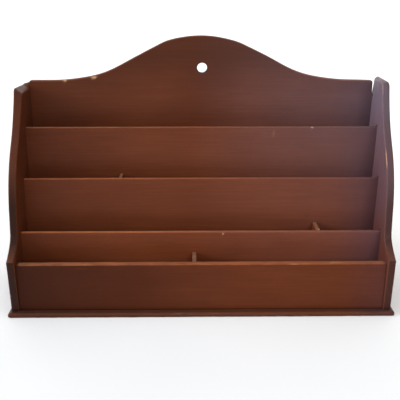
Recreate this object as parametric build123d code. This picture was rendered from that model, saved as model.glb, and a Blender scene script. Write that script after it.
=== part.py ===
from build123d import *
from math import cos, radians, sin, tan
import os

# A slotted wooden rack for letters and papers. It stands on a table or hangs on a wall.
# Four slots lie one behind another, each board rising higher towards the back.
# Frame: +Z up, -Y is the front, +X is the right-hand end. The origin is on the ground,
# at the middle of the base board. All sizes are in millimetres.

# Carcase
inner_width = 410.0
side_thickness = 8.5
back_thickness = 8.0
front_thickness = 8.0
partition_thickness = 5.0
base_thickness = 5.0

# Clear depths of the four slots, from the back board forwards
rear_slot = 29.0
second_slot = 21.0
third_slot = 26.0
front_slot = 26.0

# Base board: how far it stands proud, and its rounded edge
base_front_overhang = 9.0
base_side_overhang = 3.5
base_corner_radius = 2.5
base_top_round = 2.6
base_bottom_round = 1.4

# Heights above the ground
front_board_top = 61.0
front_partition_top = 85.5
middle_partition_top = 139.5
rear_partition_top = 194.0
shoulder_height = 243.0
crown_height = 294.7
left_side_top = 241.0
right_side_top = 247.0

# Serpentine top of the back board: a shallow crown, a tighter turn, a straight flank,
# and a hollow that runs out level at the shoulder
crown_radius = 150.0
crown_angle = 14.0
turn_radius = 60.0
flank_angle = 27.0
hollow_radius = 190.0
left_shoulder_round = 2.0
right_shoulder_round = 1.6

# Hanging hole
hanging_hole_radius = 6.0
hanging_hole_height = 257.5

# Shaped front edge of a side board. A lean is the edge's angle from the vertical.
lip_height = 66.0
lip_ahead_of_front_board = 5.0
foot_ahead_of_front_board = 2.5
lip_lean = 66.0
elbow_lean = 48.0
waist_lean = 8.0
belly_lean = 40.0
neck_lean = 18.0
lip_curve_radius = 75.0
elbow_radius = 20.0
waist_rise = 26.0
belly_radius = 129.0
neck_radius = 165.0
top_corner_radius = 6.5
left_top_bevel = (7.0, 7.2)           # height and width of the bevel on the inner top edge
right_top_cut = (3.3, 21.0, 35.0)     # inner rear top corner cut away: width, height, reach

# Joints and softened edges
groove_depth = 2.5
groove_clearance = 0.2
groove_above_partition = 1.5
partition_end_clearance = 0.2
end_gap = 0.25                        # between a butted board's end and the side
side_arris = 1.0
board_arris = 0.8
partition_arris = 1.2

# Cross dividers: thickness, place along the rack, and how far the top is below the board
# in front
divider_thickness = 4.8
thin_divider_thickness = 4.0
second_divider_x = -94.0
third_divider_x = 134.5
front_divider_x = -8.0
second_divider_drop = 1.5
divider_drop = 0.4
divider_arris = 0.6

# Nails
shank_radius = 0.8
shank_length = 26.0
point_length = 2.4
head_radius = 1.7
head_thickness = 1.0
head_sink = 1.2
pilot_clearance = 0.05
back_nail_heights = (35.0, 105.0, 175.0, 225.0)
front_nail_heights = (18.0, 48.0)
long_board_nails_x = (-165.0, -55.0, 55.0, 165.0)
partition_nails_x = (-140.0, 140.0)
side_nails_y = (-48.0, 8.0, 52.0)

# Worked out from the dimensions above
slots_depth = rear_slot + second_slot + third_slot + front_slot
boards_depth = back_thickness + 3 * partition_thickness + front_thickness
depth = slots_depth + boards_depth + base_front_overhang
rear_face = depth / 2
back_face = rear_face - back_thickness
rear_partition_front = back_face - rear_slot - partition_thickness
middle_partition_front = rear_partition_front - second_slot - partition_thickness
front_partition_front = middle_partition_front - third_slot - partition_thickness
front_board_front = front_partition_front - front_slot - front_thickness
inner_side = inner_width / 2
outer_side = inner_side + side_thickness

LEFT = -1
RIGHT = 1
near = 0.1                            # how close counts as at a height, when edges are picked


def block(width, thickness, height, left, front, bottom):
    """A plain board from its left, front, bottom corner."""
    solid = Box(width, thickness, height, align=(Align.MIN, Align.MIN, Align.MIN))
    return Pos(left, front, bottom) * solid


def top_edges(solid):
    """The two long edges along X at the top of a board."""
    return solid.edges().filter_by(Axis.X).group_by(Axis.Z)[-1]


def nail(head_point, direction):
    """A round wire nail. direction points from the head to the tip."""
    place = Plane(origin=head_point, z_dir=direction)
    up = (Align.CENTER, Align.CENTER, Align.MIN)
    straight = shank_length - head_sink - head_thickness - point_length
    head = Pos(0, 0, head_sink) * Cylinder(head_radius, head_thickness, align=up)
    shank = Pos(0, 0, head_sink + head_thickness) * Cylinder(shank_radius, straight, align=up)
    point = Pos(0, 0, shank_length - point_length) * Cone(shank_radius, 0, point_length, align=up)
    return place * (head + shank + point)


def pilot(head_point, direction):
    """The hole that a nail leaves: a sunk mouth for the head, then the shank's hole."""
    place = Plane(origin=head_point, z_dir=direction)
    up = (Align.CENTER, Align.CENTER, Align.MIN)
    mouth_depth = head_sink + head_thickness
    mouth = Cylinder(head_radius + pilot_clearance, mouth_depth, align=up)
    hole = Cylinder(shank_radius + pilot_clearance, shank_length + pilot_clearance, align=up)
    return place * (mouth + hole)


def back_outline():
    """Right half of the back board's front view, as edges from the crown to the floor."""
    def slope_point(start, angle_from, angle_to, radius):
        across = radius * abs(sin(radians(angle_to)) - sin(radians(angle_from)))
        down = radius * abs(cos(radians(angle_to)) - cos(radians(angle_from)))
        return (start[0] + across, start[1] - down)

    crown = (0.0, crown_height)
    crown_end = slope_point(crown, 0.0, crown_angle, crown_radius)
    turn_end = slope_point(crown_end, crown_angle, flank_angle, turn_radius)
    hollow_drop = hollow_radius * (1 - cos(radians(flank_angle)))
    flank_drop = turn_end[1] - shoulder_height - hollow_drop
    flank_end = (turn_end[0] + flank_drop / tan(radians(flank_angle)), turn_end[1] - flank_drop)
    hollow_end = slope_point(flank_end, flank_angle, 0.0, hollow_radius)
    middle_angle = (crown_angle + flank_angle) / 2
    shoulder_end = (inner_side - end_gap, shoulder_height)
    return [
        ThreePointArc(crown, slope_point(crown, 0.0, crown_angle / 2, crown_radius), crown_end),
        ThreePointArc(
            crown_end, slope_point(crown_end, crown_angle, middle_angle, turn_radius), turn_end
        ),
        Line(turn_end, flank_end),
        ThreePointArc(
            flank_end, slope_point(flank_end, flank_angle, flank_angle / 2, hollow_radius),
            hollow_end,
        ),
        Line(hollow_end, shoulder_end),
        Line(shoulder_end, (inner_side - end_gap, base_thickness)),
        Line((inner_side - end_gap, base_thickness), (0.0, base_thickness)),
        Line((0.0, base_thickness), crown),
    ]


def back_board():
    half = make_face(Plane.XZ * Wire(back_outline()))
    right_half = extrude(half, amount=back_thickness, dir=(0, -1, 0))
    right_half = Pos(0, rear_face, 0) * right_half
    solid = right_half + mirror(right_half, about=Plane.YZ)
    hole = Cylinder(hanging_hole_radius, 3 * back_thickness, rotation=(90, 0, 0))
    solid -= Pos(0, back_face, hanging_hole_height) * hole
    for end, shoulder_round in ((0, left_shoulder_round), (-1, right_shoulder_round)):
        shoulders = solid.edges().filter_by(Axis.Y).filter_by_position(
            Axis.Z, shoulder_height - near, shoulder_height + near
        ).sort_by(Axis.X)
        solid = fillet(shoulders[end], shoulder_round)
    faces = solid.faces().sort_by(Axis.Y)
    rims = faces[0].outer_wire().edges() + faces[-1].outer_wire().edges()
    lowest = shoulder_height - right_shoulder_round - near
    upper_rims = rims.filter_by_position(Axis.Z, lowest, crown_height + near)
    return fillet(upper_rims, board_arris)


def side_outline(top):
    """A side board seen from its end, as a face in the YZ plane."""
    def lean_point(start, lean_from, lean_to, radius):
        back = radius * abs(cos(radians(lean_to)) - cos(radians(lean_from)))
        rise = radius * abs(sin(radians(lean_to)) - sin(radians(lean_from)))
        return (start[0] + back, start[1] + rise)

    def lean_arc(start, lean_from, lean_to, radius):
        middle = lean_point(start, lean_from, (lean_from + lean_to) / 2, radius)
        end = lean_point(start, lean_from, lean_to, radius)
        return ThreePointArc(start, middle, end), end

    foot = (front_board_front - foot_ahead_of_front_board, base_thickness)
    lip = (front_board_front - lip_ahead_of_front_board, lip_height)
    lip_curve, elbow = lean_arc(lip, lip_lean, elbow_lean, lip_curve_radius)
    elbow_curve, waist = lean_arc(elbow, elbow_lean, waist_lean, elbow_radius)
    waist_end = (waist[0] + waist_rise * tan(radians(waist_lean)), waist[1] + waist_rise)
    belly_curve, neck = lean_arc(waist_end, waist_lean, belly_lean, belly_radius)
    neck_curve, neck_end = lean_arc(neck, belly_lean, neck_lean, neck_radius)
    neck_rise = top - neck_end[1]
    corner = (neck_end[0] + neck_rise * tan(radians(neck_lean)), top)
    edges = [
        Line(foot, lip),
        lip_curve,
        elbow_curve,
        Line(waist, waist_end),
        belly_curve,
        neck_curve,
        Line(neck_end, corner),
        Line(corner, (rear_face, top)),
        Line((rear_face, top), (rear_face, base_thickness)),
        Line((rear_face, base_thickness), foot),
    ]
    return make_face(Plane.YZ * Wire(edges))


def grooves(hand):
    """The three upright grooves in a side's inner face, as solids to cut away."""
    fronts_and_tops = (
        (rear_partition_front, rear_partition_top),
        (middle_partition_front, middle_partition_top),
        (front_partition_front, front_partition_top),
    )
    left = inner_side if hand == RIGHT else -inner_side - groove_depth
    cuts = []
    for front, top in fronts_and_tops:
        height = top + groove_above_partition - base_thickness
        width = partition_thickness + 2 * groove_clearance
        cuts.append(
            block(groove_depth, width, height, left, front - groove_clearance, base_thickness)
        )
    return cuts


def without_rear_corner(solid, top):
    """A side whose inner rear top corner is cut away on a slanted plane."""
    width, height, reach = right_top_cut
    low = Vector(inner_side, rear_face, top - height)
    ahead = Vector(inner_side, rear_face - reach, top)
    outward = Vector(inner_side + width, rear_face, top)
    into_the_wood = (outward - low).cross(ahead - low)
    cut = Plane(origin=low, x_dir=outward - low, z_dir=into_the_wood)
    return split(solid, bisect_by=cut, keep=Keep.TOP)


def side_board(hand, top):
    start = inner_side if hand == RIGHT else -outer_side
    solid = Pos(start, 0, 0) * extrude(side_outline(top), amount=side_thickness, dir=(1, 0, 0))
    corner = solid.edges().filter_by(Axis.X).filter_by_position(Axis.Z, top - near, top + near)
    solid = fillet(corner.sort_by(Axis.Y)[0], top_corner_radius)
    if hand == LEFT:
        bevel_height, bevel_width = left_top_bevel
        bevelled_off = Polyline(
            (-inner_side, top), (-inner_side - bevel_width, top),
            (-inner_side, top - bevel_height), close=True,
        )
        solid -= extrude(make_face(Plane.XZ * bevelled_off), amount=depth, both=True)
    front_and_top = solid.edges().filter_by_position(Axis.Z, base_thickness + near, top + near)
    outline_edges = [
        edge for edge in front_and_top
        if edge.center().Y < rear_face - near and abs(edge.center().X) > outer_side - near
    ]
    solid = fillet(outline_edges, side_arris)
    for cut in grooves(hand):
        solid -= cut
    return solid if hand == LEFT else without_rear_corner(solid, top)


def base_board():
    width = 2 * (outer_side + base_side_overhang)
    solid = block(width, depth, base_thickness, -width / 2, -depth / 2, 0)
    front_corners = solid.edges().filter_by(Axis.Z).group_by(Axis.Y)[0]
    solid = fillet(front_corners, base_corner_radius)

    def proud_edges(height):
        edges = solid.edges().filter_by_position(Axis.Z, height - near, height + near)
        return [edge for edge in edges if edge.center().Y < rear_face - near]

    solid = fillet(proud_edges(base_thickness), base_top_round)
    return fillet(proud_edges(0), base_bottom_round)


def front_board():
    length = inner_width - 2 * end_gap
    height = front_board_top - base_thickness
    solid = block(
        length, front_thickness, height, -length / 2, front_board_front, base_thickness
    )
    return fillet(top_edges(solid), board_arris)


def partition(front, top):
    """A thin board whose ends sit in the side boards' grooves."""
    length = inner_width + 2 * (groove_depth - partition_end_clearance)
    height = top - base_thickness
    solid = block(length, partition_thickness, height, -length / 2, front, base_thickness)
    return fillet(top_edges(solid), partition_arris)


def divider(centre_x, front, gap, top, thickness):
    """A short cross board that fills a slot from front to rear."""
    height = top - base_thickness
    solid = block(thickness, gap, height, centre_x - thickness / 2, front, base_thickness)
    long_edges = solid.edges().filter_by(Axis.Y).group_by(Axis.Z)[-1]
    return fillet(long_edges, divider_arris)


def side_nails(board_middle, heights):
    """Heads and directions of nails driven through both sides at the given heights."""
    return [
        ((hand * outer_side, board_middle, height), (-hand, 0, 0))
        for hand in (LEFT, RIGHT)
        for height in heights
    ]


def underside_nails():
    """Heads and directions of nails driven up through the base board."""
    long_boards_y = (rear_face - back_thickness / 2, front_board_front + front_thickness / 2)
    partitions_y = [
        front + partition_thickness / 2
        for front in (rear_partition_front, middle_partition_front, front_partition_front)
    ]
    side_middle = inner_side + side_thickness / 2
    points = [(x, y) for y in long_boards_y for x in long_board_nails_x]
    points += [(x, y) for y in partitions_y for x in partition_nails_x]
    points += [(hand * side_middle, y) for hand in (LEFT, RIGHT) for y in side_nails_y]
    return [((x, y, 0), (0, 0, 1)) for x, y in points]


def build_rack():
    parts = {
        "base_board": base_board(),
        "left_side": side_board(LEFT, left_side_top),
        "right_side": side_board(RIGHT, right_side_top),
        "back_board": back_board(),
        "front_board": front_board(),
        "rear_partition": partition(rear_partition_front, rear_partition_top),
        "middle_partition": partition(middle_partition_front, middle_partition_top),
        "front_partition": partition(front_partition_front, front_partition_top),
        "second_slot_divider": divider(
            second_divider_x, middle_partition_front + partition_thickness, second_slot,
            middle_partition_top - second_divider_drop, thin_divider_thickness,
        ),
        "third_slot_divider": divider(
            third_divider_x, front_partition_front + partition_thickness, third_slot,
            front_partition_top - divider_drop, divider_thickness,
        ),
        "front_slot_divider": divider(
            front_divider_x, front_board_front + front_thickness, front_slot,
            front_board_top - divider_drop, divider_thickness,
        ),
    }
    nail_groups = {
        "back_nails": side_nails(rear_face - back_thickness / 2, back_nail_heights),
        "front_nails": side_nails(
            front_board_front + front_thickness / 2, front_nail_heights
        ),
        "base_nails": underside_nails(),
    }
    nailed_boards = {
        "back_nails": ("left_side", "right_side", "back_board"),
        "front_nails": ("left_side", "right_side", "front_board"),
        "base_nails": (
            "base_board", "left_side", "right_side", "back_board", "front_board",
            "rear_partition", "middle_partition", "front_partition",
        ),
    }
    for group, places in nail_groups.items():
        pilots = [pilot(*place) for place in places]
        for board in nailed_boards[group]:
            parts[board] = parts[board] - pilots
        parts[group] = Compound(children=[nail(*place) for place in places])
    return parts


def main():
    os.makedirs("parts", exist_ok=True)
    for name, shape in build_rack().items():
        export_step(shape, os.path.join("parts", name + ".step"))


main()
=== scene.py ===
from math import cos, exp, pi, radians, sin, tan

import bmesh
import bpy
import numpy as np
from mathutils import Matrix, Vector, noise


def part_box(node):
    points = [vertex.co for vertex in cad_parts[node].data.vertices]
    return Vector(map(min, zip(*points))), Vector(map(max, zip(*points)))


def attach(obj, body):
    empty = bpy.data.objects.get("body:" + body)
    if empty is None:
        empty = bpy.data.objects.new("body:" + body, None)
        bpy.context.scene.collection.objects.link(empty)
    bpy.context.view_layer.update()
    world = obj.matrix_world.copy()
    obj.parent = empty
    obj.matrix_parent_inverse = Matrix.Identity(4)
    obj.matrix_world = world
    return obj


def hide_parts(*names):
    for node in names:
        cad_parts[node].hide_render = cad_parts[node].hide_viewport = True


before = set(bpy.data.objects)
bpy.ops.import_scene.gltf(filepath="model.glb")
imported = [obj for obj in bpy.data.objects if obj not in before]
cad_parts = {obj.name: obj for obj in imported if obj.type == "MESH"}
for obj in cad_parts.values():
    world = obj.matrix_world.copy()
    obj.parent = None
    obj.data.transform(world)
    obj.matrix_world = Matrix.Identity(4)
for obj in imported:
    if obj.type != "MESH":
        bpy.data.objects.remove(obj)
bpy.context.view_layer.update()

# A slotted wooden rack. Shapes are in millimetres until their meshes are written, in metres.
# Materials, lights and the camera are in metres.
MM = 0.001
X, Y, Z = 0, 1, 2
noise.seed_set(11)      # noise_vector draws its offsets from this


def box_mm(node):
    """A node's lowest and highest corners in millimetres."""
    low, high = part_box(node)
    return np.array(low) / MM, np.array(high) / MM


def between(start, end, share):
    return start * (1 - share) + end * share


def nearness(values, limit, reach):
    """0 up to a reach below a limit, then rising to 1 at the limit and past it."""
    return np.clip((values - limit) / reach + 1, 0, 1)


# The old carcase has racked: above this height it leans to the right, by these slopes at the
# outer and inner faces of the left side and the inner and outer faces of the right side.
RACKED_ABOVE = 85.0
RACKED_AT = [corner[X] for side in ("left_side", "right_side") for corner in box_mm(side)]
RACKED_SLOPES = (0.008, 0.011, 0.012, 0.0115)


# ---- outlines
# An outline is four chains of 2-D points: bottom and top run left to right, and left and
# right run bottom to top. Opposite chains have the same number of points.


def straight(start, end, count):
    steps = np.linspace(0.0, 1.0, count + 1)[:, None]
    return between(np.array(start, float), np.array(end, float), steps)


def joined(*pieces):
    """Chains end to end, without the doubled points where they meet."""
    return np.concatenate([pieces[0]] + [piece[1:] for piece in pieces[1:]])


def closed_loop(bottom, right, top, left):
    return np.concatenate([bottom, right[1:], top[::-1][1:], left[::-1][1:-1]])


def split_loop(loop, across, up):
    bottom = loop[: across + 1]
    right = loop[across : across + up + 1]
    top = loop[across + up : 2 * across + up + 1][::-1]
    left = np.concatenate([loop[2 * across + up :], loop[:1]])[::-1]
    return bottom, right, top, left


def inset_directions(loop):
    """For each point of a loop, the step inwards that moves both its edges by one unit."""
    ahead = np.roll(loop, -1, axis=0) - loop
    ahead /= np.linalg.norm(ahead, axis=1)[:, None]
    normal_ahead = np.stack([-ahead[:, 1], ahead[:, 0]], axis=1)
    normal_behind = np.roll(normal_ahead, 1, axis=0)
    together = normal_ahead + normal_behind
    return together / (1 + (normal_ahead * normal_behind).sum(axis=1))[:, None]


def slides(loop, corners, inwards):
    """How far each point slides along a loop per unit of inset.

    Near a corner the points close up, so that they stay in order as the loop shrinks.
    """
    size = len(loop)
    slide = np.zeros_like(loop)
    for first, last in zip(corners, corners[1:] + [corners[0] + size]):
        indices = np.arange(first, last + 1) % size
        chain = loop[indices]
        steps = np.linalg.norm(np.diff(chain, axis=0), axis=1)
        travelled = np.concatenate([[0.0], np.cumsum(steps)])
        reach = min(SLIDE_REACH, travelled[-1] / 2)
        for end, neighbour, distance in ((0, 1, travelled), (-1, -2, travelled[-1] - travelled)):
            along = chain[neighbour] - chain[end]
            along /= np.linalg.norm(along)
            pull = inwards[indices[end]] @ along
            fade = np.clip(1 - distance[1:-1] / reach, 0, 1)
            slide[indices[1:-1]] += pull * fade[:, None] * along
    return slide


def lean_arc(start, lean_from, lean_to, radius, count):
    """Part of a side's front edge, going up in count steps. Leans are from the vertical."""
    leans = np.radians(np.linspace(lean_from, lean_to, count + 1))
    back = radius * np.abs(np.cos(leans) - np.cos(leans[0]))
    rise = radius * np.abs(np.sin(leans) - np.sin(leans[0]))
    return np.stack([start[0] + back, start[1] + rise], axis=1)


def slab_outline(low, high, across, up):
    """A plain rectangle."""
    return (
        straight(low, (high[0], low[1]), across),
        straight((high[0], low[1]), high, up),
        straight((low[0], high[1]), high, across),
        straight(low, (low[0], high[1]), up),
    )


# ---- boards

SLIDE_REACH = 24.0                  # how far from a corner the points close up
FACE_RINGS = (1.2, 0.5, 0.0)        # insets of the flat rings just inside an arris
FACE_RING_WEAR = (0.0, 0.12, 0.55)
ARC_STEPS = 4
EDGE_RINGS = 3
ARRIS_END_WEAR = 0.55               # wear at either end of an arris's curve; its middle has 1
SQUARE_ZONE = 2.8                   # nothing is worn this near a squared-off end
ARRIS_ZONE = 2.8                    # an arris lies within this of its face
SHARP_ANGLE = radians(35.0)
SEAM_HEIGHT, SEAM_SHADE = 0.9, 0.75    # the shade painted along a board's foot, in its seam with the base
CHIP_FALL, CHIP_BARE = 3.0, 1.6     # how soon a chip's depth falls off, and how wide it is bare
SEED_STEP = Vector((7.31, 3.17, 5.77))
# Waves per millimetre: rubbing, its finer part, and the bow of a board
RUB_WAVES, FINE_RUB_WAVES, BOW_WAVES = 0.16, 0.5, 0.011
RUB_DEPTH, BOW_DEPTH = 0.22, 0.10
# What a board's vertices say of themselves: how worn they are, how far round an arris they lie,
# how much of the cut edge they are, the shade painted on them, and how bare their wood is
LAYERS = ("wear", "arris", "edge", "grime", "bare")


def mirrored(rings, thickness):
    """The same rings at the far face, from the inside out."""
    return [
        (inset, thickness - depth, *values, (sideways, -backwards))
        for inset, depth, *values, (sideways, backwards) in rings[::-1]
    ]


def arris_profile(radius, face_wear):
    """Rings from the near face round its arris, as ring_profile gives them."""
    rings = [(radius + extra, 0.0, wear * face_wear, 0.0, 0.0, (0.0, -1.0))
             for extra, wear in zip(FACE_RINGS, FACE_RING_WEAR)]
    for step in range(1, ARC_STEPS + 1):
        turn = 0.5 * pi * step / ARC_STEPS
        middle, edge = sin(2 * turn), step / ARC_STEPS
        wear = between(ARRIS_END_WEAR, 1.0, middle) * between(face_wear, 1.0, edge)
        inset, depth = radius * (1 - sin(turn)), radius * (1 - cos(turn))
        rings.append((inset, depth, wear, middle, edge, (sin(turn), -cos(turn))))
    return rings


def ring_profile(thickness, near_round, far_round, edge_wear, face_wear):
    """Rings from the near face to the far face.

    Each is its inset, its depth, how worn it is, how far round its arris it lies (1 at the
    middle), how much of the board's edge it is, and its outward direction.
    """
    between_arrises = thickness - near_round - far_round
    edge = [
        (0.0, near_round + between_arrises * step / (EDGE_RINGS + 1), edge_wear, 0.0, 1.0, (1.0, 0.0))
        for step in range(1, EDGE_RINGS + 1)
    ]
    far = mirrored(arris_profile(far_round, face_wear), thickness)
    return arris_profile(near_round, face_wear) + edge + far


def hole_profile(lengths, radius, mouth_round, thickness):
    """Rings of a bored hole, from lengths away on the near face through to the far face.

    Each is its radius, its depth, its painted shade, which darkens the mouth and bore, and its
    outward direction.
    """
    mouth = [(between(lengths, radius + mouth_round, share), 0.0, 0.0, (0.0, -1.0))
             for share in (0.35, 0.7, 1.0)]
    for step in range(1, ARC_STEPS + 1):
        turn = 0.5 * pi * step / ARC_STEPS
        depth = mouth_round * (1 - cos(turn))
        mouth.append((radius + mouth_round * (1 - sin(turn)), depth, 1.0, (-sin(turn), -cos(turn))))
    bore = [(radius, thickness * share, 1.0, (-1.0, 0.0)) for share in (0.3, 0.5, 0.7)]
    return mouth + bore + mirrored(mouth, thickness)


def bridged(one, other):
    """The faces between two rings of vertices."""
    after = np.roll(np.arange(len(one)), -1)
    return [(one[i], one[j], other[j], other[i]) for i, j in enumerate(after)]


def transfinite(bottom, right, top, left):
    """The inner points of a grid stretched over four chains, as [across, up, 2]."""
    across, up = len(bottom) - 1, len(left) - 1
    s = np.linspace(0, 1, across + 1)[:, None, None]
    t = np.linspace(0, 1, up + 1)[None, :, None]
    grid = between(bottom[:, None], top[:, None], t) + between(left[None], right[None], s)
    low_corners, high_corners = between(bottom[0], top[0], t), between(bottom[-1], top[-1], t)
    return (grid - between(low_corners, high_corners, s))[1:-1, 1:-1]


def placed(points, depth, face, axis):
    """2-D outline points as 3-D points, at a depth behind a face that an axis crosses."""
    return np.insert(points, axis, face + depth, axis=1)


class Board:
    """A plate with softened arrises, cut to an outline, with LAYERS at its vertices.

    axis is the one that it is thin along, and low and high are the corners of its CAD box.
    """

    def __init__(
        self, outline, axis, low, high, near_round, far_round, edge_wear=0.45, face_wear=1.0,
    ):
        face, thickness = low[axis], high[axis] - low[axis]
        across, up = len(outline[0]) - 1, len(outline[3]) - 1
        loop = closed_loop(*outline)
        inwards = inset_directions(loop)
        corners = [0, across, across + up, 2 * across + up]
        shrinking = inwards + slides(loop, corners, inwards)
        rim_outwards = -inwards / np.linalg.norm(inwards, axis=1)[:, None]
        self.across, self.up, self.loop_size = across, up, len(loop)
        self.points, self.outward = np.zeros((0, 3)), np.zeros((0, 3))
        for layer in LAYERS:
            setattr(self, layer, np.zeros(0))
        self.rim_faces, self.hole_faces = [], []
        self.opening = (0, 0, 0, 0)
        rings = ring_profile(thickness, near_round, far_round, edge_wear, face_wear)
        self.ring_count = len(rings)
        previous = None
        for inset, depth, wear, arris, edge, (sideways, backwards) in rings:
            points = placed(loop + shrinking * inset, depth, face, axis)
            outward = placed(rim_outwards * sideways, backwards, 0.0, axis)
            current = self.add_points(points, outward, wear=wear, arris=arris, edge=edge)
            if previous:
                self.rim_faces += bridged(previous, current)
            previous = current
        for inset, depth, _, _, _, (_, backwards) in (rings[0], rings[-1]):
            inner = transfinite(*split_loop(loop + shrinking * inset, across, up))
            flat = inner.reshape(-1, 2)
            outward = placed(flat * 0.0, backwards, 0.0, axis)
            self.add_points(placed(flat, depth, face, axis), outward)
        self.low, self.high = self.points.min(axis=0), self.points.max(axis=0)

    def add_points(self, points, outward, **values):
        """Adds vertices that share one value in each layer, and gives their indices."""
        start = len(self.points)
        self.points = np.concatenate([self.points, points])
        self.outward = np.concatenate([self.outward, outward])
        for layer in LAYERS:
            added = np.full(len(points), values.get(layer, 0.0))
            setattr(self, layer, np.concatenate([getattr(self, layer), added]))
        return list(range(start, len(self.points)))

    def sheet_vertex(self, which, i, j):
        """The vertex at grid place i, j of the near face (0) or the far face (1)."""
        across, up, size = self.across, self.up, self.loop_size
        ring = 0 if which == 0 else (self.ring_count - 1) * size
        if j == 0:
            return ring + i
        if i == across:
            return ring + across + j
        if j == up:
            return ring + across + up + (across - i)
        if i == 0:
            return ring + 2 * across + up + (up - j)
        inner = (across - 1) * (up - 1)
        return self.ring_count * size + which * inner + (i - 1) * (up - 1) + (j - 1)

    def sheet_faces(self, which):
        corners = ((0, 0), (0, 1), (1, 1), (1, 0))
        return [
            [self.sheet_vertex(which, i + right, j + above) for right, above in corners]
            for i in range(self.across) for j in range(self.up) if not self.in_opening(i, j)
        ]

    def in_opening(self, i, j):
        i_low, i_high, j_low, j_high = self.opening
        return i_low <= i < i_high and j_low <= j < j_high

    def opening_rim(self, which):
        """The vertices round the opening in one face, in order."""
        i_low, i_high, j_low, j_high = self.opening
        places = [(i, j_low) for i in range(i_low, i_high)]
        places += [(i_high, j) for j in range(j_low, j_high)]
        places += [(i, j_high) for i in range(i_high, i_low, -1)]
        places += [(i_low, j) for j in range(j_high, j_low, -1)]
        return [self.sheet_vertex(which, i, j) for i, j in places]

    def clear_opening(self, centre, reach):
        """Leaves the grid squares within a reach of a point out of both faces."""
        xs = [self.points[self.sheet_vertex(0, i, 1)][X] for i in range(self.across + 1)]
        middle = int(np.argmin(np.abs(np.array(xs) - centre[0])))
        zs = [self.points[self.sheet_vertex(0, middle, j)][Z] for j in range(self.up + 1)]
        i_places = [i for i, x in enumerate(xs) if abs(x - centre[0]) < reach]
        j_places = [j for j, z in enumerate(zs) if abs(z - centre[1]) < reach]
        self.opening = (i_places[0], i_places[-1], j_places[0], j_places[-1])

    def drill(self, centre, radius, mouth_round, margin):
        """Bores a round hole through a board that lies front to back, with softened mouths."""
        self.clear_opening(centre, radius + margin)
        previous = self.opening_rim(0)
        spokes = self.points[previous][:, [X, Z]] - centre
        lengths = np.linalg.norm(spokes, axis=1)[:, None]
        spokes = spokes / lengths
        rings = hole_profile(lengths, radius, mouth_round, self.high[Y] - self.low[Y])
        # The mouths and bore of the hole take painted shade
        for size, depth, grime, (sideways, backwards) in rings:
            ring = placed(centre + spokes * size, depth, self.low[Y], Y)
            outward = placed(spokes * sideways, backwards, 0.0, Y)
            current = self.add_points(ring, outward, grime=grime)
            self.hole_faces += bridged(previous, current)
            previous = current
        self.hole_faces += bridged(previous, self.opening_rim(1))

    def age(self, seed):
        """Rubs the arrises unevenly and bows the board a little, within its own box."""
        shift = seed * SEED_STEP
        for index, point in enumerate(self.points):
            place = Vector(point)
            if self.arris[index] > 0:
                rough = noise.noise(place * RUB_WAVES + shift)
                rough += 0.5 * noise.noise(place * FINE_RUB_WAVES + shift)
                depth = self.arris[index] * RUB_DEPTH * (0.6 + rough)
                self.points[index] -= self.outward[index] * depth
            lift = noise.noise_vector(place * BOW_WAVES + shift)
            self.points[index] += np.array(lift) * BOW_DEPTH
        low, high = self.points.min(axis=0), self.points.max(axis=0)
        self.points = self.low + (self.points - low) * (self.high - self.low) / (high - low)

    def square_off(self, axis, low=None, high=None):
        """Cuts the board off square at one or both ends along an axis: no arris is left there."""
        for limit, bound in ((low, self.low), (high, self.high)):
            if limit is not None:
                near = np.abs(self.points[:, axis] - limit) < SQUARE_ZONE
                self.wear[near] = 0.0
                self.arris[near] = 0.0
                bound[axis] = limit
        self.points[:, axis] = np.clip(self.points[:, axis], self.low[axis], self.high[axis])

    def round_front_corners(self, radius):
        """Rounds the two front corners of a board that lies flat."""
        centre = (self.low + self.high) / 2
        half = (self.high - self.low) / 2
        sideways = np.maximum(np.abs(self.points[:, X] - centre[X]) - half[X] + radius, 0.0)
        forwards = np.maximum(self.low[Y] + radius - self.points[:, Y], 0.0)
        reach = np.maximum(np.hypot(sideways, forwards), 1e-9)
        pull = 1 - np.maximum(sideways, forwards) / reach
        self.points[:, X] -= np.sign(self.points[:, X] - centre[X]) * sideways * pull
        self.points[:, Y] += forwards * pull

    def lean(self):
        """Leans the board to the right above the front board, as the old carcase has racked."""
        slope = np.interp(self.points[:, X], RACKED_AT, RACKED_SLOPES)
        self.points[:, X] += slope * np.maximum(self.points[:, Z] - RACKED_ABOVE, 0.0)

    def bare_arris_and_highlight(self, inner_face, low, high, bare):
        """Bares the wood along the arris of one face, between two heights, which also paints that
        arris's highlight.
        """
        face_gap = np.abs(self.points[:, X] - inner_face)
        middle, half = (low + high) / 2, (high - low) / 2
        inside = np.clip(2 * (1 - np.abs(self.points[:, Z] - middle) / half), 0, 1)
        inside = inside * (face_gap < ARRIS_ZONE)
        self.bare = np.maximum(self.bare, bare * self.arris * inside)

    def shade_foot(self):
        """Paints shade on the foot of the board, along its seam with the base, and less above it."""
        above = (self.points[:, Z] - self.low[Z]) / SEAM_HEIGHT
        self.grime = np.maximum(self.grime, SEAM_SHADE * np.clip(1.5 - above, 0, 1))

    def chip(self, centre, reach, depth):
        """A worn or knocked spot: pushes in the edge round a point and bares its wood."""
        offset = (self.points - np.array(centre)) / np.array(reach)
        closeness = np.exp(-CHIP_FALL * (offset * offset).sum(axis=1))
        self.points -= self.outward * (depth * closeness)[:, None]
        self.bare = np.maximum(self.bare, np.clip(closeness * CHIP_BARE, 0, 1))

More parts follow.
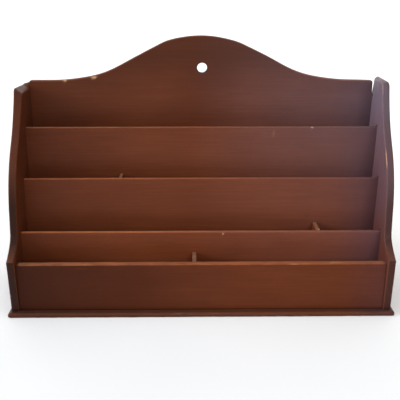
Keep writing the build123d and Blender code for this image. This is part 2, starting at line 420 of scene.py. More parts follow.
    def build(self, node, material, slot, cutters=()):
        """Makes the finished piece, which stands for its CAD node."""
        name = node + "_wood"
        mesh = bpy.data.meshes.new(name)
        faces = self.rim_faces + self.sheet_faces(0) + self.sheet_faces(1) + self.hole_faces
        mesh.from_pydata((self.points * MM).tolist(), [], faces)
        for attribute in ("wear", "bare", "edge", "grime"):
            layer = mesh.attributes.new(attribute, "FLOAT", "POINT")
            layer.data.foreach_set("value", getattr(self, attribute).astype(np.float32))
        turn_outwards(mesh)
        mesh.shade_smooth()
        mesh.materials.append(material)
        piece = bpy.data.objects.new(name, mesh)
        bpy.context.scene.collection.objects.link(piece)
        if cutters:
            carve(piece, cutters)
        piece.data.set_sharp_from_angle(angle=SHARP_ANGLE)
        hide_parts(node)
        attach(piece, "root")


def turn_outwards(mesh):
    work = bmesh.new()
    work.from_mesh(mesh)
    bmesh.ops.recalc_face_normals(work, faces=work.faces)
    work.to_mesh(mesh)
    work.free()


# ---- joinery cuts


def add_groove(work, low, high):
    """Adds a box-shaped cutter between two corners."""
    made = bmesh.ops.create_cube(work, size=1.0)["verts"]
    low, high = np.array(low), np.array(high)
    bmesh.ops.scale(work, vec=(high - low) * MM, verts=made)
    bmesh.ops.translate(work, vec=(high + low) / 2 * MM, verts=made)


def add_nail_mouth(work, head_point, axis):
    """Adds the sunk mouth above a nail head, as a round cutter across the board's face."""
    made = bmesh.ops.create_cone(
        work, cap_ends=True, segments=20, radius1=MOUTH_RADIUS * MM, radius2=MOUTH_RADIUS * MM,
        depth=2 * MOUTH_DEPTH * MM,
    )["verts"]
    if axis == X:
        turn = Matrix.Rotation(pi / 2, 3, "Y")
        bmesh.ops.rotate(work, cent=(0, 0, 0), matrix=turn, verts=made)
    bmesh.ops.translate(work, vec=np.array(head_point) * MM, verts=made)


def carve(piece, cutters):
    """Cuts the cutters out of a piece and keeps the result as its mesh.

    Each cutter is the function that adds it and what that function takes.
    """
    work = bmesh.new()
    for add, *measures in cutters:
        add(work, *measures)
    tool_mesh = bpy.data.meshes.new(piece.name + "_cutters")
    work.to_mesh(tool_mesh)
    work.free()
    tool = bpy.data.objects.new(tool_mesh.name, tool_mesh)
    bpy.context.scene.collection.objects.link(tool)
    cut = piece.modifiers.new("cut", "BOOLEAN")
    cut.operation, cut.solver, cut.object = "DIFFERENCE", "MANIFOLD", tool
    view = bpy.context.evaluated_depsgraph_get()
    carved = bpy.data.meshes.new_from_object(piece.evaluated_get(view), depsgraph=view)
    piece.modifiers.clear()
    blank, piece.data = piece.data, carved
    carved.name = piece.name
    bpy.data.objects.remove(tool)
    bpy.data.meshes.remove(tool_mesh)
    bpy.data.meshes.remove(blank)


# ---- the rack's own shapes

# Front edge of a side, as in the CAD model: heights, radii and leans from the vertical
LIP_HEIGHT = 66.0
FOOT_SET_BACK = 2.5
LIP_LEAN, ELBOW_LEAN, WAIST_LEAN, BELLY_LEAN, NECK_LEAN = 66.0, 48.0, 8.0, 40.0, 18.0
LIP_RADIUS, ELBOW_RADIUS, BELLY_RADIUS, NECK_RADIUS, TOP_RADIUS = 75.0, 20.0, 129.0, 165.0, 6.5
WAIST_RISE = 26.0
SIDE_ACROSS = 30                    # grid squares of its faces, front to back

# Top of the back board, as in the CAD model: radii, and angles from the level
CROWN_RADIUS, TURN_RADIUS, HOLLOW_RADIUS = 150.0, 60.0, 190.0
CROWN_ANGLE, FLANK_ANGLE = radians(14.0), radians(27.0)
SHOULDER_HEIGHT = 243.0
BACK_ACROSS, BACK_UP = 168, 96      # grid squares of its faces
LEFT_SHOULDER_ROUND, RIGHT_SHOULDER_ROUND = 2.4, 2.8
HOLE_RADIUS, HOLE_HEIGHT, HOLE_MOUTH_ROUND, HOLE_MARGIN = 6.0, 257.5, 0.5, 7.0

# Joinery, as in the CAD model. Here the grooves' cutters also reach below the partitions.
GROOVE_DEPTH, GROOVE_SLACK, GROOVE_ABOVE, GROOVE_BELOW = 2.5, 0.2, 1.5, 1.0
MOUTH_RADIUS, MOUTH_DEPTH = 1.75, 2.2
BACK_NAIL_HEIGHTS = (35.0, 105.0, 175.0, 225.0)
FRONT_NAIL_HEIGHTS = (18.0, 48.0)
LONG_BOARD_NAILS_X = (-165.0, -55.0, 55.0, 165.0)
PARTITION_NAILS_X = (-140.0, 140.0)
SIDE_NAILS_Y = (-48.0, 8.0, 52.0)
# The left side is sawn LEFT_TOP_WORN above its CAD top. Its top edges are then worn down by
# these drops, at their front and rear, and less beside the back.
LEFT_TOP_WORN = 3.0
LEFT_TOP_ZONE = 32.0
OUTER_EDGE_DROPS, INNER_EDGE_DROPS = (3.2, 5.6), (9.3, 10.3)
BESIDE_BACK_DROP, BESIDE_BACK_REACH = 3.2, 7.0

# The right side's top: its crown, and its rear inner corner, which is pared away smoothly
RIGHT_CROWN = 2.6
PARED_WIDTH, PARED_HEIGHT, PARED_REACH, PARED_DROP = 3.0, 26.0, 34.0, 2.4

# The back's right end is pared too, and its right shoulder droops a little towards that end
END_PARED, END_PARED_REACH = 0.9, 6.0
DROOP, DROOP_FROM, DROOP_TO = 0.8, 165.0, 203.0
# Where the saw dipped below the drawn curve of the back: place, depth and half-width
HAND_SAWN = ((-118.0, 1.3, 22.0), (40.0, 1.3, 26.0), (115.0, 1.4, 26.0))
PARTITIONS = ("rear_partition", "middle_partition", "front_partition")


def side_outline(node, top_height):
    """A side board seen from its end, in (Y, Z). Its shaped edge is the left chain."""
    low, high = box_mm(node)
    bottom_edge, rear_edge = low[Z] - SIDE_ARRIS, high[Y] + SIDE_ARRIS
    foot = (low[Y] + FOOT_SET_BACK, bottom_edge)
    lip = (low[Y], LIP_HEIGHT)
    front = [straight(foot, lip, 26)]
    front.append(lean_arc(lip, LIP_LEAN, ELBOW_LEAN, LIP_RADIUS, 10))
    front.append(lean_arc(front[-1][-1], ELBOW_LEAN, WAIST_LEAN, ELBOW_RADIUS, 8))
    waist = front[-1][-1]
    waist_end = (waist[0] + WAIST_RISE * tan(radians(WAIST_LEAN)), waist[1] + WAIST_RISE)
    front.append(straight(waist, waist_end, 10))
    front.append(lean_arc(waist_end, WAIST_LEAN, BELLY_LEAN, BELLY_RADIUS, 28))
    front.append(lean_arc(front[-1][-1], BELLY_LEAN, NECK_LEAN, NECK_RADIUS, 24))
    neck = front[-1][-1]
    rise = top_height - neck[1] - TOP_RADIUS * (1 - sin(radians(NECK_LEAN)))
    corner_start = (neck[0] + rise * tan(radians(NECK_LEAN)), neck[1] + rise)
    front.append(straight(neck, corner_start, 3))
    front.append(lean_arc(corner_start, NECK_LEAN, 90.0, TOP_RADIUS, 8))
    left = joined(*front)
    bottom = straight(foot, (rear_edge, bottom_edge), SIDE_ACROSS)
    top = straight(left[-1], (rear_edge, top_height), SIDE_ACROSS)
    right = straight((rear_edge, bottom_edge), (rear_edge, top_height), len(left) - 1)
    return bottom, right, top, left


def sawn_height(x, crown_height):
    """Height of the back board's top at a place x along it, as it was sawn by hand."""
    droop = DROOP * max(0.0, (x - DROOP_FROM) / (DROOP_TO - DROOP_FROM)) ** 2
    dips = sum(depth * exp(-(((x - place) / spread) ** 2)) for place, depth, spread in HAND_SAWN)
    return serpentine_height(x, crown_height) - droop - dips


def serpentine_height(x, crown_height):
    """Height of the back board's top as drawn, at a distance x from the middle."""
    x = abs(x)
    crown_end = CROWN_RADIUS * sin(CROWN_ANGLE)
    crown_drop = CROWN_RADIUS * (1 - cos(CROWN_ANGLE))
    turn_end = crown_end + TURN_RADIUS * (sin(FLANK_ANGLE) - sin(CROWN_ANGLE))
    turn_drop = crown_drop + TURN_RADIUS * (cos(CROWN_ANGLE) - cos(FLANK_ANGLE))
    hollow_rise = HOLLOW_RADIUS * (1 - cos(FLANK_ANGLE))
    flank_drop = crown_height - turn_drop - SHOULDER_HEIGHT - hollow_rise
    flank_end = turn_end + flank_drop / tan(FLANK_ANGLE)
    hollow_end = flank_end + HOLLOW_RADIUS * sin(FLANK_ANGLE)
    if x < crown_end:
        return crown_height - CROWN_RADIUS + (CROWN_RADIUS**2 - x**2) ** 0.5
    if x < turn_end:
        centre = crown_end - TURN_RADIUS * sin(CROWN_ANGLE)
        base = crown_height - crown_drop - TURN_RADIUS * cos(CROWN_ANGLE)
        return base + (TURN_RADIUS**2 - (x - centre) ** 2) ** 0.5
    if x < flank_end:
        return crown_height - turn_drop - (x - turn_end) * tan(FLANK_ANGLE)
    if x < hollow_end:
        across = hollow_end - x
        return SHOULDER_HEIGHT + HOLLOW_RADIUS - (HOLLOW_RADIUS**2 - across**2) ** 0.5
    return SHOULDER_HEIGHT


def quarter_turn(corner, radius, towards):
    """A rounded shoulder of the back board, from its end up to its top."""
    turn = np.radians(np.linspace(0.0, 90.0, 5))
    across = corner[0] + towards * radius * (1 - np.cos(turn))
    return np.stack([across, corner[1] - radius * (1 - np.sin(turn))], axis=1)


def back_outline():
    low, high = box_mm("back_board")
    left_end, right_end, bottom_edge = low[X] - ARRIS, high[X] + ARRIS, low[Z] - ARRIS
    left_turn = quarter_turn((left_end, SHOULDER_HEIGHT), LEFT_SHOULDER_ROUND, 1)
    right_corner = (right_end, SHOULDER_HEIGHT - DROOP)
    right_turn = quarter_turn(right_corner, RIGHT_SHOULDER_ROUND, -1)[::-1]
    turned = len(left_turn) + len(right_turn) - 2
    xs = np.linspace(left_turn[-1][0], right_turn[0][0], BACK_ACROSS - turned + 1)
    curve = np.array([(x, sawn_height(x, high[Z])) for x in xs])
    top = joined(left_turn, curve, right_turn)
    left = straight((left_end, bottom_edge), top[0], BACK_UP)
    right = straight((right_end, bottom_edge), top[-1], BACK_UP)
    bottom = straight((left_end, bottom_edge), (right_end, bottom_edge), BACK_ACROSS)
    return bottom, right, top, left


# ---- materials


class Graph:
    """A short way to add and join shader nodes."""

    def __init__(self, name, shift=(0, 0, 0)):
        self.material = bpy.data.materials.new(name)
        self.material.use_nodes = True
        self.tree = self.material.node_tree
        self.shader = self.tree.nodes["Principled BSDF"]
        self.shift = shift
        self.place = self.node("ShaderNodeTexCoord").outputs["Object"]

    def join(self, socket, source):
        """Links a socket to another node's, or sets its value."""
        if isinstance(source, bpy.types.NodeSocket):
            self.tree.links.new(source, socket)
        else:
            socket.default_value = source

    def node(self, kind, links=None, **settings):
        made = self.tree.nodes.new(kind)
        for key, value in settings.items():
            setattr(made, key, value)
        for name, source in (links or {}).items():
            self.join(made.inputs[name], source)
        return made

    def feed(self, name, source):
        self.join(self.shader.inputs[name], source)

    def cloud(self, scale, turn=(0, 0, 0), detail=3.0, roughness=0.5, distortion=0.0):
        """Noise with a scale along each axis, in waves per metre."""
        links = {"Vector": self.place, "Scale": scale, "Rotation": turn, "Location": self.shift}
        stretched = self.node("ShaderNodeMapping", links).outputs["Vector"]
        links = {
            "Vector": stretched, "Scale": 1.0, "Detail": detail, "Roughness": roughness,
            "Distortion": distortion,
        }
        return self.node("ShaderNodeTexNoise", links).outputs["Fac"]

    def span(self, value, low, high, out_low=0.0, out_high=1.0):
        """Maps low..high to out_low..out_high, held at the ends."""
        links = {0: value, 1: low, 2: high, 3: out_low, 4: out_high}
        return self.node("ShaderNodeMapRange", links).outputs["Result"]

    def clamped(self, value):
        return self.span(value, 0.0, 1.0)

    def blended(self, factor, a, b):
        """A number between a and b."""
        return self.node("ShaderNodeMix", {0: factor, 2: a, 3: b}, data_type="FLOAT").outputs[0]

    def grey(self, value):
        return self.node("ShaderNodeCombineColor", {0: value, 1: value, 2: value}).outputs[0]

    def apart(self, vector):
        """The X, Y and Z of a vector."""
        return self.node("ShaderNodeSeparateXYZ", {0: vector}).outputs

    def maths(self, operation, a, b):
        return self.node("ShaderNodeMath", {0: a, 1: b}, operation=operation).outputs[0]

    def product(self, first, *others):
        for other in others:
            first = self.maths("MULTIPLY", first, other)
        return first

    def mixed(self, factor, a, b, blend="MIX"):
        """A colour between a and b."""
        links = {0: factor, 6: a, 7: b}
        return self.node("ShaderNodeMix", links, data_type="RGBA", blend_type=blend).outputs[2]

    def raise_relief(self, height, strength, distance):
        links = {"Height": height, "Strength": strength, "Distance": distance}
        self.feed("Normal", self.node("ShaderNodeBump", links).outputs["Normal"])


def colour(red, green, blue):
    """An sRGB colour, 0 to 255, as the linear RGBA that shaders take."""
    def linear(value):
        value /= 255.0
        return value / 12.92 if value <= 0.04045 else ((value + 0.055) / 1.055) ** 2.4

    return linear(red), linear(green), linear(blue), 1.0


STAIN = colour(106, 52, 27)
STAIN_DEEP = colour(92, 43, 22)
# Painted shade at the left-hand end
LEFT_SHADE_COLOUR = colour(56, 24, 12)
# Cold painted shade against the right-hand side
RIGHT_SHADE_COLOUR = colour(58, 46, 62)
# The pale stain of fibres and scuffs, also the colour of the highlight painted on the arrises
PALE_STAIN_AND_HIGHLIGHT = colour(160, 92, 54)
BARE_WOOD = colour(196, 156, 116)
GRAIN_DARK = colour(62, 30, 18)
DUST = colour(132, 112, 98)
# A painted cool sheen towards the right-hand end
PAINTED_SHEEN = colour(134, 138, 160)

# Places on the rack, in metres. Painted shade darkens the stain between these towards the
# left-hand end, and a cold painted shade grows between these against the right-hand side.
DARK_END, PLAIN_END = -0.20, 0.05
SHADY_END = (0.155, 0.203)
RACK_ENDS = (-0.2, 0.2)
CROWN_HEIGHTS = (0.225, 0.27)
# Over these heights the cut edges' painted light and shade goes from its low value to its high one
EDGE_TONE_HEIGHTS = (0.12, 0.165)
# How dark the painted shade in the hole and along the feet makes the stain
PAINTED_SHADE_TONE = 0.12
# Where the cool sheen is painted on: from the middle to the right, and upwards
SHEEN_RIGHT, SHEEN_UP = (-0.01, 0.20), (0.07, 0.22)


class Wood(Graph):
    """The stained and varnished wood of one board. grain is the axis its fibres run along.

    stain starts the surface's colour, and each other step takes it and gives the next.
    """

    def __init__(self, name, grain, seed):
        super().__init__(name, shift=(seed * 1.37, seed * 2.11, seed * 0.73))
        self.grain = grain
        self.across_rack, _, self.up_rack = self.apart(self.place)
        normal = self.node("ShaderNodeNewGeometry").outputs["Normal"]
        _, self.backward, self.upward = self.apart(normal)
        self.mottle = self.cloud((9, 9, 13), detail=4, roughness=0.55)
        self.fibre = self.grained(16.0, 520.0, detail=5, roughness=0.62)
        self.pores = self.grained(70.0, 1500.0, detail=2, roughness=0.5)
        self.uneven = self.grained(60.0, 240.0, detail=4, roughness=0.6)

    def grained(self, along, across, **settings):
        """Noise that is drawn out along the grain."""
        scale = [across, across, across]
        scale[self.grain] = along
        return self.cloud(tuple(scale), **settings)

    def layer(self, name):
        """One of the LAYERS at a board's vertices."""
        return self.node("ShaderNodeAttribute", attribute_name=name).outputs["Fac"]

    def stain(self, darkened, shady):
        """The stain on the figure, fibres and pores, with painted shade at the left and cold painted
        shade at the right.
        """
        figure = self.grained(3.0, 46.0, detail=3, roughness=0.55, distortion=0.6)
        surface = self.mixed(self.span(self.mottle, 0.32, 0.68), STAIN_DEEP, STAIN)
        surface = self.mixed(self.span(figure, 0.35, 0.65, 0.0, 0.30), surface, STAIN_DEEP)
        surface = self.mixed(self.span(self.fibre, 0.42, 0.74, 0.0, 0.09), surface, PALE_STAIN_AND_HIGHLIGHT)
        surface = self.mixed(self.span(self.pores, 0.60, 0.74, 0.0, 0.22), surface, GRAIN_DARK)
        # Painted shade, darker towards the left-hand end
        dark = self.span(self.across_rack, DARK_END, PLAIN_END, darkened, 0.0)
        surface = self.mixed(dark, surface, LEFT_SHADE_COLOUR)
        # Cold painted shade against the right-hand side
        return self.mixed(self.span(self.across_rack, *SHADY_END, 0.0, shady), surface, RIGHT_SHADE_COLOUR)

    def scuff(self, surface, amount):
        """Fine scratches in patches."""
        scratch = self.cloud((30, 160, 420), turn=(0.0, 0.16, 0.10), detail=3, roughness=0.4)
        patch = self.span(self.cloud((16, 16, 22), detail=2), 0.5, 0.62)
        scuffs = self.product(self.span(scratch, 0.66, 0.74), patch, amount)
        return self.mixed(scuffs, surface, PALE_STAIN_AND_HIGHLIGHT)

    def rub_and_highlight(self, surface, rubbed_and_lit):
        """Pales the worn arrises, and here and there wears them through to the wood. This also paints
        the highlight on the top arrises, fading across the rack. Gives that mask too.
        """
        wear = self.layer("wear")
        # This falloff across the rack also sets the highlight painted on the top arrises, strongest
        # at the left
        rub_and_highlight_share = self.span(self.across_rack, *RACK_ENDS, *rubbed_and_lit)
        rub_and_highlight = self.product(wear, self.span(self.uneven, 0.30, 0.62, 0.35, 1.0), rub_and_highlight_share)
        rub_and_highlight = self.clamped(rub_and_highlight)
        broken = self.span(self.grained(42.0, 160.0, detail=5, roughness=0.65), 0.60, 0.70)
        through = self.clamped(self.product(self.span(wear, 0.75, 1.0), broken, rub_and_highlight_share))
        return self.mixed(through, self.mixed(rub_and_highlight, surface, PALE_STAIN_AND_HIGHLIGHT), BARE_WOOD), rub_and_highlight

    def painted_sheen(self, surface, amounts):
        """A cool sheen painted on towards the right-hand end."""
        drifts = self.grained(7.0, 15.0, detail=4, roughness=0.6)
        sheen_share = self.product(
            self.span(self.across_rack, *SHEEN_RIGHT), self.span(self.up_rack, *SHEEN_UP, *amounts),
            self.span(drifts, 0.3, 0.7, 0.75, 1.25),
        )
        return self.mixed(sheen_share, surface, PAINTED_SHEEN)

    def settle_dust(self, surface, amount):
        """Dust on what faces up. Gives the dust too."""
        lint = self.cloud((120, 120, 120), detail=4, roughness=0.7)
        cover = self.span(lint, 0.3, 0.75, 0.2 * amount, amount)
        dust = self.product(self.span(self.upward, 0.75, 1.0), cover)
        return self.mixed(dust, surface, DUST), dust

    def tone(self, surface, tone, crown_tone, edge_tones, lip_darkened):
        """Darkens the whole board and the back's crown, paints light and shade on the cut edges, and
        paints shade in the hole and along the feet.
        """
        # The cut edges: painted shade low down on the sides, and a painted highlight on the front
        # board's top edge
        cut_edge = self.product(
            self.layer("edge"), self.span(self.upward, 0.7, 0.9, 1.0, lip_darkened),
            self.span(self.backward, 0.0, 0.5, 1.0, 0.0),
        )
        edge_tone = self.span(self.up_rack, *EDGE_TONE_HEIGHTS, *edge_tones)
        toning = self.product(
            self.span(self.up_rack, *CROWN_HEIGHTS, tone, tone * crown_tone),
            self.blended(cut_edge, 1.0, edge_tone),
            self.blended(self.layer("grime"), 1.0, PAINTED_SHADE_TONE),
        )
        return self.mixed(1.0, surface, self.grey(toning), "MULTIPLY")


def wood(
    name, grain, seed, rubbed_and_lit=(0.5, 0.5), scuffed=0.05, darkened=0.25, painted_sheen=(0.0, 0.0),
    shady=0.45, tone=1.0, crown_tone=1.0, edge_tones=(1.0, 1.0), lip_darkened=1.0,
    dusty=0.20, gloss=0.15,
):
    """A board's material.

    rubbed is how worn the arrises are at the left and right, which also sets the highlight painted
    on them, and darkened is how deep the painted shade at the left-hand end is. bloom is how strong
    the painted cool sheen is at the right-hand end, low down and high up, and shady is how strong the
    cold painted shade is there. The tones multiply the stain: everywhere, at the crown of the back,
    and, as painted light and shade, on the cut edges low down and high up. lip_darkened is how much
    of the edge's tone its flat lips take.
    """
    board = Wood(name, grain, seed)
    surface = board.scuff(board.stain(darkened, shady), scuffed)
    surface, rub_and_highlight = board.rub_and_highlight(surface, rubbed_and_lit)
    surface, dust = board.settle_dust(board.painted_sheen(surface, painted_sheen), dusty)
    surface = board.tone(surface, tone, crown_tone, edge_tones, lip_darkened)
    bare = board.product(board.layer("bare"), board.span(board.uneven, 0.30, 0.50, 0.6, 1.0))
    board.feed("Base Color", board.mixed(board.clamped(bare), surface, BARE_WOOD))

    satin = board.span(board.grained(11.0, 60.0, detail=3), 0.3, 0.7, 0.40, 0.54)
    matt = board.product(board.maths("ADD", board.maths("ADD", rub_and_highlight, dust), bare), 0.25)
    board.feed("Roughness", board.maths("ADD", satin, matt))

    relief = board.maths("ADD", board.product(board.fibre, 0.6), board.product(board.pores, -0.5))
    relief = board.maths("ADD", relief, board.product(board.mottle, 0.8))
    board.raise_relief(relief, strength=0.25, distance=0.0005)
    board.feed("Specular IOR Level", gloss)
    return board.material


def steel():
    metal = Graph("nail_steel")
    rust = metal.cloud((700, 700, 700), detail=4, roughness=0.6)
    rusted = metal.mixed(metal.span(rust, 0.4, 0.65), colour(92, 80, 72), colour(78, 42, 26))
    metal.feed("Base Color", rusted)
    metal.feed("Roughness", metal.span(rust, 0.3, 0.7, 0.42, 0.75))
    metal.feed("Metallic", 0.85)
    metal.raise_relief(rust, strength=0.4, distance=0.0002)
    return metal.material


# ---- pieces

ARRIS, SIDE_ARRIS, PARTITION_ARRIS, DIVIDER_ARRIS = 0.8, 1.0, 0.7, 0.6
BASE_BOTTOM_ROUND, BASE_TOP_ROUND, BASE_CORNER_RADIUS = 1.4, 2.6, 2.5
LEFT_TOP_FRONT = 20.0           # where the left side's top begins, front to back
RIGHT_CROWN_ZONE = 20.0
ROUNDEST = 0.98                 # how far round the right side's crown goes: 1 is upright

# Knocks and worn spots: place along the edge, distance below it, reach along X, Y and Z, depth
BACK_CHIPS = (
    (-163.0, 0.6, (2.6, 4.0, 1.6), 0.35),
    (-128.0, 1.6, (5.0, 4.0, 1.3), 0.30),
)
PARTITION_CHIPS = {
    "rear_partition": ((129.0, 0.5, (1.8, 3.0, 1.3), 0.35), (84.0, 7.0, (1.1, 2.0, 1.1), 0.15)),
    "front_partition": ((25.0, 2.2, (1.3, 2.0, 1.2), 0.15),),
}
# Along the right side's inner arris, pale bare streaks that are wear and a painted highlight: between
# two heights, and how bare
RIGHT_ARRIS_WEAR_AND_HIGHLIGHT = ((158.0, 178.0, 0.75), (232.0, 246.0, 0.35))


def middle_of(node):
    low, high = box_mm(node)
    return (low + high) / 2


def side_cuts(outer_face, inner_face):
    """Cutters for a side: its three grooves, with room for the lean, and its nails' mouths."""
    inwards = np.sign(inner_face - outer_face)
    lean = RACKED_SLOPES[1] * (box_mm("rear_partition")[1][Z] - RACKED_ABOVE)
    cuts = []
    for partition in PARTITIONS:
        low, high = box_mm(partition)
        floor = inner_face - inwards * (GROOVE_DEPTH + lean / 2)
        faces = sorted((floor, inner_face + inwards * 2 * lean))
        cuts.append((
            add_groove, (faces[0], low[Y] - GROOVE_SLACK, low[Z] - GROOVE_BELOW),
            (faces[1], high[Y] + GROOVE_SLACK, high[Z] + GROOVE_ABOVE),
        ))
    for board, heights in (("back_board", BACK_NAIL_HEIGHTS), ("front_board", FRONT_NAIL_HEIGHTS)):
        for height in heights:
            cuts.append((add_nail_mouth, (outer_face, middle_of(board)[Y], height), X))
    return cuts


def base_cuts():
    """Cutters for the nail mouths under the base."""
    places = [(x, middle_of(board)[Y]) for board in ("back_board", "front_board")
              for x in LONG_BOARD_NAILS_X]
    places += [(x, middle_of(board)[Y]) for board in PARTITIONS for x in PARTITION_NAILS_X]
    places += [(middle_of(side)[X], y) for side in ("left_side", "right_side")
               for y in SIDE_NAILS_Y]
    return [(add_nail_mouth, (x, y, 0.0), Z) for x, y in places]


def upright_slab(node, arris, across, up, edge_wear, face_wear=1.0):
    """A board along the rack, with arrises at its top alone."""
    low, high = box_mm(node)
    corners = (low[X] - arris, low[Z] - arris), (high[X] + arris, high[Z])
    outline = slab_outline(*corners, across, up)
    board = Board(outline, Y, low, high, arris, arris, edge_wear, face_wear)
    board.square_off(X, low[X], high[X])
    board.square_off(Z, low[Z])
    return board


def make_partition(node, seed, darkened, painted_sheen, tone):
    low, high = box_mm(node)
    board = upright_slab(node, PARTITION_ARRIS, 300, 30, edge_wear=0.75, face_wear=0.15)
    board.age(seed)
    for x, drop, reach, depth in PARTITION_CHIPS.get(node, ()):
        board.chip((x, low[Y], high[Z] - drop), reach, depth)
    board.lean()
    # Their top arrises get a highlight painted on, strongest at the left
    stain = wood(
        node + "_stain", X, seed, rubbed_and_lit=(1.5, 0.05), darkened=darkened, painted_sheen=painted_sheen, tone=tone,
    )
    board.build(node, stain, "partition_wood")


def make_front_board():
    board = upright_slab("front_board", ARRIS, 300, 24, edge_wear=0.85)
    board.age(4)
    # Painted shade along its seam with the base
    board.shade_foot()
    # Its top edge is made lighter, a painted highlight, and its left-hand end carries painted shade
    stain = wood(
        "front_stain", X, 4, rubbed_and_lit=(0.85, 0.6), scuffed=0.07, darkened=0.85, shady=0.3,
        tone=0.84, edge_tones=(1.38, 1.38), gloss=0.08,
    )
    board.build("front_board", stain, "front_wood")


def shorten_right_end(board):
    """Pares the back board's right end towards its shoulder, where a gap has opened."""
    points = board.points
    near_end = nearness(points[:, X], board.high[X], END_PARED_REACH)
    near_top = nearness(points[:, Z], SHOULDER_HEIGHT, PARED_HEIGHT)
    points[:, X] -= END_PARED * near_end * near_top


def make_back():
    low, high = box_mm("back_board")
    board = Board(back_outline(), Y, low, high, ARRIS, ARRIS)
    board.square_off(X, low[X], high[X])
    board.square_off(Z, low[Z])
    board.drill((0.0, HOLE_HEIGHT), HOLE_RADIUS, HOLE_MOUTH_ROUND, HOLE_MARGIN)
    shorten_right_end(board)
    board.age(5)
    for x, drop, reach, depth in BACK_CHIPS:
        board.chip((x, low[Y], sawn_height(x, high[Z]) - drop), reach, depth)
    board.lean()
    stain = wood(
        "back_stain", X, 5, darkened=0.2, painted_sheen=(0.05, 0.18), tone=0.87, crown_tone=0.62,
    )
    board.build("back_board", stain, "back_wood")


def side_board(node, seed, top_height):
    low, high = box_mm(node)
    outline = side_outline(node, top_height)
    board = Board(outline, X, low, high, SIDE_ARRIS, SIDE_ARRIS, edge_wear=0.08)
    board.square_off(Y, high=high[Y])
    board.square_off(Z, low[Z])
    board.age(seed)
    return board


def wear_left_top(board, inner, outer, rear):
    """Wears the left side's top down: most at its inner edge, but less beside the back."""
    points = board.points
    inwards = (points[:, X] - outer) / (inner - outer)
    backwards = np.clip((points[:, Y] - LEFT_TOP_FRONT) / (rear - LEFT_TOP_FRONT), 0, 1)
    outer_drop = between(*OUTER_EDGE_DROPS, backwards)
    inner_drop = between(*INNER_EDGE_DROPS, backwards)
    beside_back = nearness(points[:, Y], rear, BESIDE_BACK_REACH)
    inner_drop = between(inner_drop, BESIDE_BACK_DROP, beside_back)
    near_top = nearness(points[:, Z], board.high[Z], LEFT_TOP_ZONE)
    points[:, Z] -= between(outer_drop, inner_drop, inwards) * near_top


def crown_right_top(board):
    """Rounds the right side's top over across its thickness."""
    points = board.points
    middle = (board.low[X] + board.high[X]) / 2
    half = (board.high[X] - board.low[X]) / 2
    across = ROUNDEST * np.clip(np.abs(points[:, X] - middle) / half, 0, 1)
    near_top = nearness(points[:, Z], board.high[Z], RIGHT_CROWN_ZONE)
    points[:, Z] -= RIGHT_CROWN * (1 - np.sqrt(1 - across**2)) * near_top


def pare_right_top(board, inner, outer, rear):
    """Pares the right side thinner towards the rear corner of its inner top edge."""
    points = board.points
    towards_inner = np.clip((outer - points[:, X]) / (outer - inner), 0, 1)
    backwards = nearness(points[:, Y], rear, PARED_REACH)
    upwards = nearness(points[:, Z], board.high[Z], PARED_HEIGHT)
    points[:, X] += PARED_WIDTH * towards_inner * backwards * np.sqrt(upwards)
    points[:, Z] -= PARED_DROP * towards_inner * backwards**2 * upwards


def make_left_side():
    low, high = box_mm("left_side")
    inner, outer = high[X], low[X]
    board = side_board("left_side", 6, high[Z] + LEFT_TOP_WORN)
    wear_left_top(board, inner, outer, high[Y])
    board.lean()
    # Its cut edges carry painted shade, deepest low down
    stain = wood(
        "left_side_stain", Z, 6, rubbed_and_lit=(0.12, 0.12), darkened=0.4, edge_tones=(0.24, 0.78),
        lip_darkened=0.3,
    )
    board.build("left_side", stain, "side_wood", side_cuts(outer, inner))


def make_right_side():
    low, high = box_mm("right_side")
    inner, outer = low[X], high[X]
    board = side_board("right_side", 7, high[Z])
    crown_right_top(board)
    pare_right_top(board, inner, outer, high[Y])
    for low_end, high_end, bare in RIGHT_ARRIS_WEAR_AND_HIGHLIGHT:
        board.bare_arris_and_highlight(inner, low_end, high_end, bare)
    board.lean()
    # Its cut edges carry painted shade, deepest low down
    stain = wood(
        "right_side_stain", Z, 7, rubbed_and_lit=(0.12, 0.12), painted_sheen=(0.02, 0.36), shady=0.15,
        edge_tones=(0.40, 0.62), lip_darkened=0.5,
    )
    board.build("right_side", stain, "side_wood", side_cuts(outer, inner))


def make_base():
    low, high = box_mm("base_board")
    rear = high[Y] + BASE_TOP_ROUND
    outline = slab_outline((low[X], low[Y]), (high[X], rear), 150, 50)
    board = Board(outline, Z, low, high, BASE_BOTTOM_ROUND, BASE_TOP_ROUND)
    board.square_off(Y, high=high[Y])
    board.round_front_corners(BASE_CORNER_RADIUS)
    board.age(8)
    stain = wood("base_stain", X, 8, rubbed_and_lit=(0.25, 0.25), darkened=0.6, tone=0.54)
    board.build("base_board", stain, "base_wood", base_cuts())


def make_divider(node, seed):
    low, high = box_mm(node)
    corners = (low[Y] - DIVIDER_ARRIS, low[Z] - DIVIDER_ARRIS), (high[Y] + DIVIDER_ARRIS, high[Z])
    outline = slab_outline(*corners, 12, 30)
    board = Board(outline, X, low, high, DIVIDER_ARRIS, DIVIDER_ARRIS)
    board.square_off(Y, low[Y], high[Y])
    board.square_off(Z, low[Z])
    board.age(seed)
    if node == "third_slot_divider":
        board.chip((high[X], low[Y] + 1.5, high[Z]), (2.5, 5.0, 2.0), 0.3)
    stain = wood(node + "_stain", Z, seed, rubbed_and_lit=(0.5, 0.5), dusty=0.7)
    board.build(node, stain, "divider_wood")


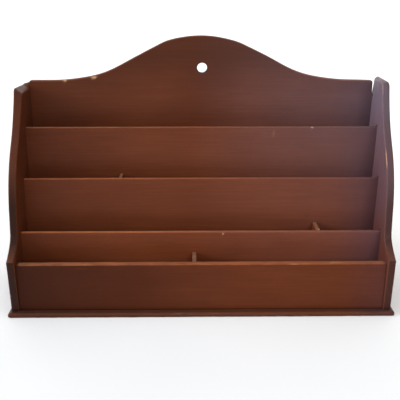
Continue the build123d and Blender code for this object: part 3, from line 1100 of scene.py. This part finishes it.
make_base()
make_back()
make_front_board()
make_left_side()
make_right_side()
make_partition("rear_partition", 1, darkened=0.1, painted_sheen=(0.06, 0.16), tone=0.90)
make_partition("middle_partition", 2, darkened=0.2, painted_sheen=(0.03, 0.10), tone=1.02)
make_partition("front_partition", 3, darkened=0.3, painted_sheen=(0.05, 0.05), tone=1.20)
for seed, node in enumerate(("second_slot_divider", "third_slot_divider", "front_slot_divider"), 9):
    make_divider(node, seed)
nail_metal = steel()
for node in ("back_nails", "front_nails", "base_nails"):
    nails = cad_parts[node]
    nails.data.materials.clear()
    nails.data.materials.append(nail_metal)


# ---- stage, lights, camera


def make_floor():
    """A pale floor that turns up smoothly into a backdrop far behind."""
    half_width, front, behind, bend, top = 9.0, -6.0, 7.0, 2.0, 7.0
    profile = [(front, 0.0)] + [(y, 0.0) for y in np.linspace(-1.0, behind, 9)]
    turns = np.linspace(0, pi / 2, 13)[1:]
    profile += [(behind + bend * sin(turn), bend * (1 - cos(turn))) for turn in turns]
    profile.append((behind + bend, top))
    points = [(x, y, z) for y, z in profile for x in (-half_width, half_width)]
    faces = [(2 * i, 2 * i + 1, 2 * i + 3, 2 * i + 2) for i in range(len(profile) - 1)]
    mesh = bpy.data.meshes.new("floor")
    mesh.from_pydata(points, [], faces)
    mesh.shade_smooth()
    pale = Graph("pale_floor")
    cloud = pale.span(pale.cloud((2, 2, 2)), 0.3, 0.7)
    pale.feed("Base Color", pale.mixed(cloud, colour(240, 240, 239), colour(246, 246, 245)))
    pale.feed("Roughness", 0.9)
    pale.feed("Specular IOR Level", 0.1)
    mesh.materials.append(pale.material)
    floor = bpy.data.objects.new("floor", mesh)
    bpy.context.scene.collection.objects.link(floor)


def make_light(name, place, target, size, power, tint=(1, 1, 1), spread=180.0):
    """A soft rectangular lamp. power is in watts, and spread is in degrees."""
    lamp = bpy.data.lights.new(name, "AREA")
    lamp.shape = "RECTANGLE"
    lamp.size, lamp.size_y = size
    lamp.energy = power
    lamp.color = tint
    lamp.spread = radians(spread)
    holder = bpy.data.objects.new(name, lamp)
    holder.location = place
    aim = Vector(target) - Vector(place)
    holder.rotation_euler = aim.to_track_quat("-Z", "Y").to_euler()
    bpy.context.scene.collection.objects.link(holder)


def make_world(strength):
    world = bpy.data.worlds.new("studio")
    world.use_nodes = True
    background = world.node_tree.nodes["Background"]
    background.inputs["Color"].default_value = (1.0, 1.0, 1.0, 1.0)
    background.inputs["Strength"].default_value = strength
    bpy.context.scene.world = world


def make_camera(eye, pitch, yaw, focal_length):
    """pitch looks down, and yaw turns to the right."""
    data = bpy.data.cameras.new("camera")
    data.sensor_width = 36.0
    data.lens = focal_length
    data.clip_end = 60.0
    holder = bpy.data.objects.new("camera", data)
    turn = Matrix.Rotation(-yaw, 3, "Z") @ Matrix.Rotation(pi / 2 - pitch, 3, "X")
    holder.matrix_world = Matrix.Translation(eye) @ turn.to_4x4()
    bpy.context.scene.collection.objects.link(holder)
    bpy.context.scene.camera = holder


bpy.context.scene.view_settings.view_transform = "Standard"
make_floor()
make_world(0.55)
make_light("overhead", (0, -0.35, 1.9), (0, -0.35, 0), (1.6, 1.2), 9.0)
make_light("front_right", (0.45, -1.3, 0.7), (0.1, 0, 0.15), (0.6, 0.6), 0.5, spread=40.0)
make_light("side_left", (-1.5, -0.32, 0.62), (0.25, 0, 0.17), (0.5, 0.5), 1.4, (0.9, 1, 1.15), 50.0)
make_light("key_left", (-1.25, -0.85, 0.6), (0.3, 0, 0.16), (0.5, 0.5), 0.5, spread=50.0)
make_light("backdrop", (0, 0.6, 1.6), (0, 3.2, 0.6), (3.0, 0.8), 35.0)
make_light("far_floor", (0, 5.0, 2.6), (0, 5.0, 0), (12.0, 5.0), 260.0)
make_camera((-0.009, -0.7087, 0.3651), radians(19.49), radians(0.635), focal_length=58.1)

bpy.context.view_layer.update()
